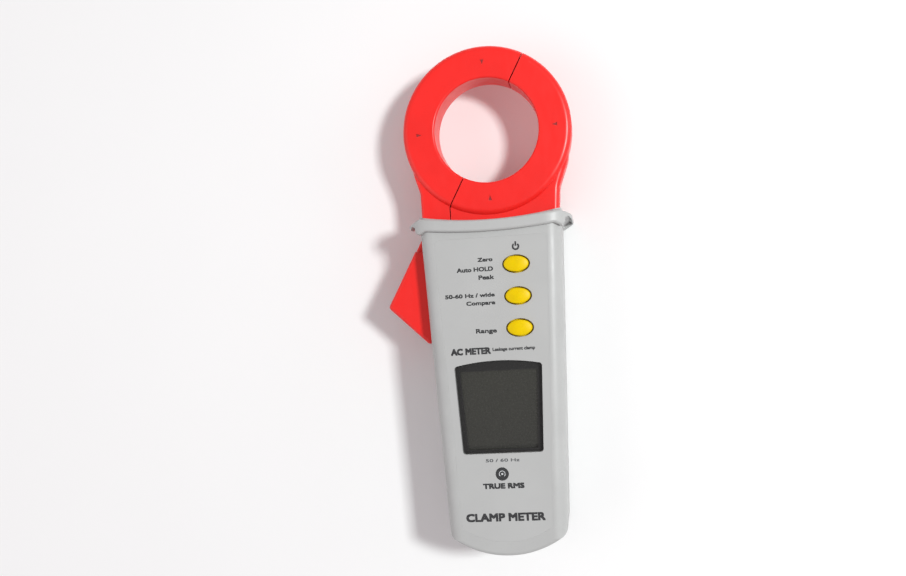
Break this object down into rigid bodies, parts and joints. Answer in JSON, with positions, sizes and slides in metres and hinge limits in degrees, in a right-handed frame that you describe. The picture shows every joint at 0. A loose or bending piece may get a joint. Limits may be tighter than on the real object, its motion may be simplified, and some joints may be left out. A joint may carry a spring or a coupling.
{
  "type": "clamp meter",
  "caption": "Hand-held leakage clamp meter: red ring jaw that a side trigger opens, light grey tapered case with a finger barrier, oval keys and a blank display.",
  "frame": {"origin": "middle of the flat back that the meter rests on, on its centre line, about halfway along the case", "axes": "+Z out of the front face, +Y along the meter towards the jaw, +X to the right of someone reading the face"},
  "size_m": [0.0742, 0.1922, 0.036],
  "materials": {
    "case_grey": "fine-textured light grey ABS",
    "label_grey": "satin printed overlay, light grey",
    "jaw_red": "satin bright red moulding",
    "key_yellow": "smooth yellow silicone",
    "bezel_black": "matt black",
    "window_clear": "clear acrylic",
    "lcd_olive": "grey-green display, blank",
    "connector_rubber": "striped conductive rubber",
    "board_green": "solder-masked board",
    "chip_black": "moulded package",
    "component_blue": "sleeved can",
    "can_steel": "drawn can",
    "core_steel": "laminated core",
    "bobbin_nylon": "natural nylon",
    "copper_enamel": "enamelled copper wire",
    "lead_red": "insulated wire",
    "screw_steel": "plated steel",
    "spring_steel": "spring wire",
    "bush_brass": "turned brass",
    "contact_nickel": "nickel-plated spring steel",
    "cell_sleeve": "printed cell sleeve",
    "foam_grey": "soft foam",
    "plate_silver": "blank rating plate"
  },
  "bodies": {
    "housing": {"front_case": "case_grey", "rear_case": "case_grey", "battery_cover": "case_grey", "face_label": "label_grey", "rating_plate": "plate_silver", "display_window": "window_clear", "display_bezel": "bezel_black", "lcd_glass": "lcd_olive", "lcd_connector_strips": "connector_rubber", "main_board": "board_green", "board_screws": "screw_steel", "measuring_chips": "chip_black", "capacitors": "component_blue", "trimmers": "component_blue", "crystal": "can_steel", "buzzer": "chip_black", "key_switches": "chip_black", "fixed_jaw_front": "jaw_red", "fixed_jaw_rear": "jaw_red", "fixed_jaw_core": "core_steel", "fixed_jaw_bobbin": "bobbin_nylon", "fixed_jaw_coil": "copper_enamel", "fixed_coil_leads": "lead_red", "moving_coil_leads": "lead_red", "battery_leads": "lead_red", "pivot_pin": "screw_steel", "jaw_spring": "spring_steel", "neck_screws": "screw_steel", "foot_screws": "screw_steel", "battery_cover_screw": "screw_steel", "battery_foam": "foam_grey", "battery_cells": "cell_sleeve", "battery_bridge_contact": "contact_nickel", "battery_positive_contact": "contact_nickel", "battery_negative_contact": "contact_nickel"},
    "moving_jaw": {"moving_jaw_front": "jaw_red", "moving_jaw_rear": "jaw_red", "moving_jaw_core": "core_steel", "moving_jaw_bobbin": "bobbin_nylon", "moving_jaw_coil": "copper_enamel", "pivot_bush": "bush_brass", "lever_screws": "screw_steel"},
    "power_button": {"power_key": "key_yellow", "power_switch_plunger": "chip_black"},
    "compare_button": {"compare_key": "key_yellow", "compare_switch_plunger": "chip_black"},
    "range_button": {"range_key": "key_yellow", "range_switch_plunger": "chip_black"}
  },
  "joints": [
    {"name": "jaw_pivot", "type": "hinge", "parent": "housing", "child": "moving_jaw", "pos_m": [-0.0195, 0.0545, 0.017], "axis": [0, 0, 1], "range_deg": [0, 35], "stiffness_Nm_per_rad": 0.15, "springref_deg": -57.3, "deforming": ["jaw_spring", "moving_coil_leads"]},
    {"name": "power_press", "type": "slide", "parent": "housing", "child": "power_button", "axis": [0, 0, -1], "range_m": [0, 0.0005], "stiffness_N_per_m": 300},
    {"name": "compare_press", "type": "slide", "parent": "housing", "child": "compare_button", "axis": [0, 0, -1], "range_m": [0, 0.0005], "stiffness_N_per_m": 300},
    {"name": "range_press", "type": "slide", "parent": "housing", "child": "range_button", "axis": [0, 0, -1], "range_m": [0, 0.0005], "stiffness_N_per_m": 300}
  ]
}
